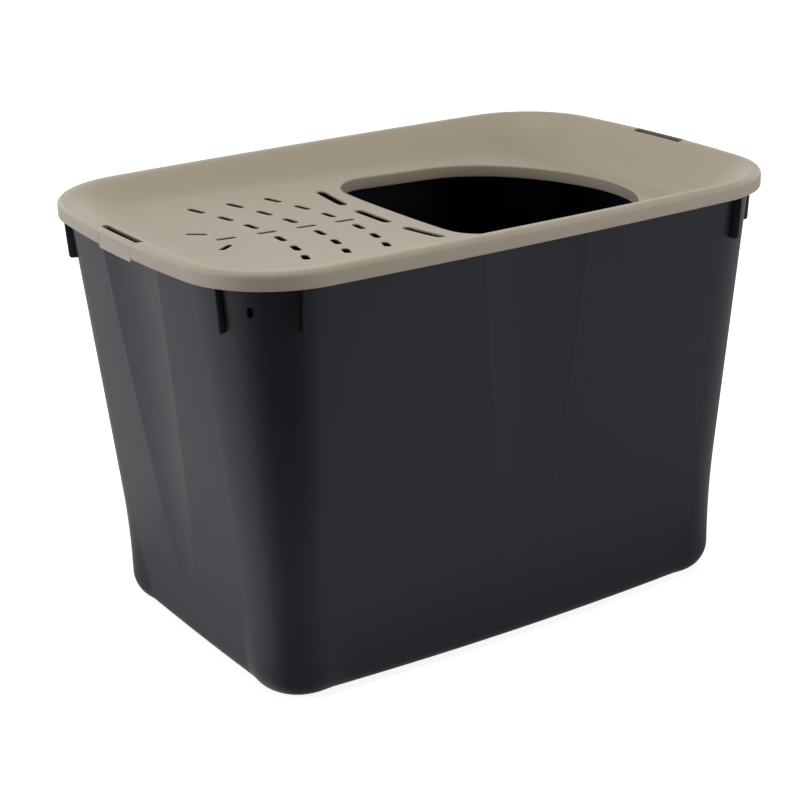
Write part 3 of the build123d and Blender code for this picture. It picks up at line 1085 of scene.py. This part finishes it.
class LITTERBOX_OT_tub(bpy.types.Operator):
    """Models the tapered tub with its grooves, feet, rim, fins and small slots"""

    bl_idname = "litterbox.tub"
    bl_label = "Tub"

    def execute(self, context):
        sizes = context.scene.litter_box
        tub, lid, fins = sizes.tub, sizes.lid, sizes.fins
        joined = corner_copies(foot_pad(tub, 0, tub.clearance))
        for turn in (fins.end_angle, fins.side_angle):
            joined += corner_copies(fin_tool(tub, lid, fins, turn))
        outside = combined(tub_outside(tub, lid), joined, "UNION")
        hollows = corner_copies(foot_pad(tub, tub.wall, tub.clearance + tub.wall))
        cavity = combined(tub_cavity(tub, lid), hollows, "UNION")
        bm = combined(outside, [cavity] + corner_copies(pip_tool(tub, lid, fins)), "DIFFERENCE")
        finished(bm, "tapered_tub", "tub_plastic", "tub", "tub", groove_creases(bm, tub, lid))
        return {"FINISHED"}


# Studio

# Level directions from the box to the camera and to the camera's left.
to_camera = (-0.542, -0.84, 0)
to_left = (-0.84, 0.542, 0)


def ray_kinds(shader):
    """One for rays from the camera or through glass, and one for rays that gloss sends on."""
    path = shader.node("ShaderNodeLightPath", {}, {})
    camera, glossy, through = (
        Value(shader, path.outputs[f"Is {kind} Ray"]) for kind in ("Camera", "Glossy", "Transmission")
    )
    clamped = {"operation": "ADD", "use_clamp": True}
    return shader.value("ShaderNodeMath", clamped, {0: camera, 1: through}), glossy


def studio_glow(shader, place):
    """How bright gloss finds the studio: white at the left, greyer at the right and dim in
    front."""
    flat = shader.vector("MULTIPLY", place, (1, 1, 0))
    unit = shader.vector("NORMALIZE", flat)
    front, left = (shader.vector("DOT_PRODUCT", unit, side, "Value") for side in (to_camera, to_left))
    fade = shader.smooth(front, 0.4, 1.0, 1.0, 0.0)
    bounce = shader.smooth(shader.vector("LENGTH", flat, output="Value"), 0.1, 0.55, 0.33, 0.05)
    return (0.6 + 0.2 * left) * (1 + 0.35 * front) * fade + bounce * (1.2 - fade)


def bright_backdrop(shader, place):
    """The white wall behind the box, which flat faces mirror at a low angle."""
    rise = shader.vector("DOT_PRODUCT", place, (0, 0, 1), "Value")
    behind = shader.vector("DOT_PRODUCT", place, tuple(-part for part in to_camera), "Value")
    return shader.smooth(behind, 0.1, 0.7, 0.0, 1.0) * shader.smooth(rise, 0.35, 0.75, 1.0, 0.0)


def white_floor(shade):
    """A pale floor that looks white and keeps the box's shadow. Gloss sees it as a glow instead,
    darkened next to the box by a painted shadow.
    """
    material = bpy.data.materials.new("white_floor")
    shader = Shader(material)
    direct, glossy = ray_kinds(shader)
    place = shader.value("ShaderNodeTexCoord", {}, {}, "Object")
    near_corner = shader.vector("ADD", place, (0.2, 0.12, 0))
    beyond = shader.vector("SUBTRACT", shader.vector("ABSOLUTE", place), (0.24, 0.156, 0))
    clear = shader.node("ShaderNodeSeparateXYZ", {}, {0: beyond})
    along, across = (Value(shader, clear.outputs[name]) for name in "XY")
    # Painted shadow: how the floor looks in gloss is made darker close to the box's footprint, in
    # place of a contact shadow that its glow cannot receive.
    painted_contact_shadow = shader.smooth(along.maths("MAXIMUM", along, across), 0.0, 0.2, 0.55, 1.0)
    white = shader.smooth(shader.vector("LENGTH", place, output="Value"), 0.4, 1.5, shade, 1.0)
    surface = shader.value(
        "ShaderNodeBsdfPrincipled",
        {},
        {
            "Base Color": (0.65, 0.65, 0.65, 1),
            "Roughness": 0.9,
            "Specular IOR Level": 0.0,
            "Emission Color": (1, 1, 1, 1),
            "Emission Strength": direct * white,
        },
    )
    # Gloss sees the floor as a glow, not lit by the lamps, with the painted shadow near the box.
    strength = studio_glow(shader, near_corner) * painted_contact_shadow
    glow = shader.value("ShaderNodeEmission", {}, {"Strength": strength})
    mixed = shader.value("ShaderNodeMixShader", {}, {0: glossy, 1: surface, 2: glow})
    shader.node("ShaderNodeOutputMaterial", {}, {"Surface": mixed})
    return material


def area_light(name, place, target, width, height, watts, tint):
    light = bpy.data.lights.new(name, "AREA")
    light.shape = "RECTANGLE"
    light.size = width
    light.size_y = height
    light.energy = watts
    light.color = tint
    lamp = bpy.data.objects.new(name, light)
    lamp.location = place
    lamp.rotation_euler = (Vector(target) - Vector(place)).to_track_quat("-Z", "Y").to_euler()
    bpy.context.scene.collection.objects.link(lamp)
    lamp.visible_camera = False
    lamp.visible_glossy = False


class LITTERBOX_OT_studio(bpy.types.Operator):
    """Sets up the floor, the soft light and the camera"""

    bl_idname = "litterbox.studio"
    bl_label = "Studio"

    def execute(self, context):
        scene = context.scene
        studio = scene.litter_box.studio
        bm = bmesh.new()
        bmesh.ops.create_grid(bm, x_segments=1, y_segments=1, size=15)
        floor = linked(bm, "studio_floor")
        floor.data.materials.append(white_floor(studio.floor_shade))

        world = bpy.data.worlds.new("studio_light")
        scene.world = world
        shader = Shader(world)
        direct, glossy = ray_kinds(shader)
        place = shader.value("ShaderNodeTexCoord", {}, {}, "Generated")
        glow = studio_glow(shader, place) + studio.backdrop * bright_backdrop(shader, place)
        strength = direct + glossy * glow + (1 - direct - glossy) * studio.ambient
        white = {"Color": (1, 1, 1, 1), "Strength": strength}
        background = shader.value("ShaderNodeBackground", {}, white)
        shader.node("ShaderNodeOutputWorld", {}, {"Surface": background})

        for name, place, target, width, height, tint in (
            ("top", (-0.2, -0.3, 2.6), (0, 0, 0.3), 1.8, 1.8, (1.03, 1.0, 0.9)),
            ("left", (-2.3, 0.9, 0.7), (0, 0, 0.35), 1.2, 1.0, (0.98, 0.97, 1.13)),
            ("right", (1.5, -2.0, 0.7), (0.1, 0, 0.35), 1.2, 1.0, (1.0, 0.99, 1.08)),
        ):
            watts = getattr(studio, f"{name}_watts")
            area_light(f"{name}_light", place, target, width, height, watts, tint)

        data = bpy.data.cameras.new("camera")
        data.sensor_width = 36
        data.lens = studio.lens
        camera = bpy.data.objects.new("camera", data)
        turn = Matrix.Rotation(studio.azimuth, 4, "Z")
        tilt = Matrix.Rotation(math.pi / 2 - studio.elevation, 4, "X")
        roll = Matrix.Rotation(studio.roll, 4, "Z")
        target = Matrix.Translation((studio.target_x, 0, studio.target_z))
        back = Matrix.Translation((0, 0, studio.distance))
        camera.matrix_world = target @ turn @ tilt @ roll @ back
        scene.collection.objects.link(camera)
        scene.camera = camera
        scene.view_settings.view_transform = "Standard"
        return {"FINISHED"}


class LITTERBOX_PT_panel(bpy.types.Panel):
    bl_label = "Top Entry Litter Box"
    bl_idname = "LITTERBOX_PT_panel"
    bl_space_type = "VIEW_3D"
    bl_region_type = "UI"
    bl_category = "Litter Box"

    def draw(self, context):
        for operator in builders:
            self.layout.operator(operator.bl_idname)
        for group in LitterBoxSettings.__annotations__:
            box = self.layout.box()
            box.label(text=group.replace("_", " ").capitalize())
            settings = getattr(context.scene.litter_box, group)
            for name in settings.__annotations__:
                box.prop(settings, name)


groups = (LidSizes, OpeningSizes, SlotSizes, TabSizes, TubSizes, FinSizes)
groups += (PlasticLook, StudioSettings, LitterBoxSettings)
builders = (LITTERBOX_OT_studio, LITTERBOX_OT_tub, LITTERBOX_OT_lid, LITTERBOX_OT_snap_tabs)


def register():
    for group in groups + builders + (LITTERBOX_PT_panel,):
        bpy.utils.register_class(group)
    bpy.types.Scene.litter_box = PointerProperty(type=LitterBoxSettings)


def unregister():
    del bpy.types.Scene.litter_box
    for group in reversed(groups + builders + (LITTERBOX_PT_panel,)):
        bpy.utils.unregister_class(group)


def main():
    register()
    settings = bpy.context.scene.litter_box
    settings.tub_plastic.colour = (0.0125, 0.0112, 0.019)
    settings.tub_plastic.roughness = 0.35
    settings.tub_plastic.specular = 0.5
    bpy.ops.litterbox.studio()
    bpy.ops.litterbox.tub()
    bpy.ops.litterbox.lid()
    bpy.ops.litterbox.snap_tabs()


if __name__ == "__main__":
    main()
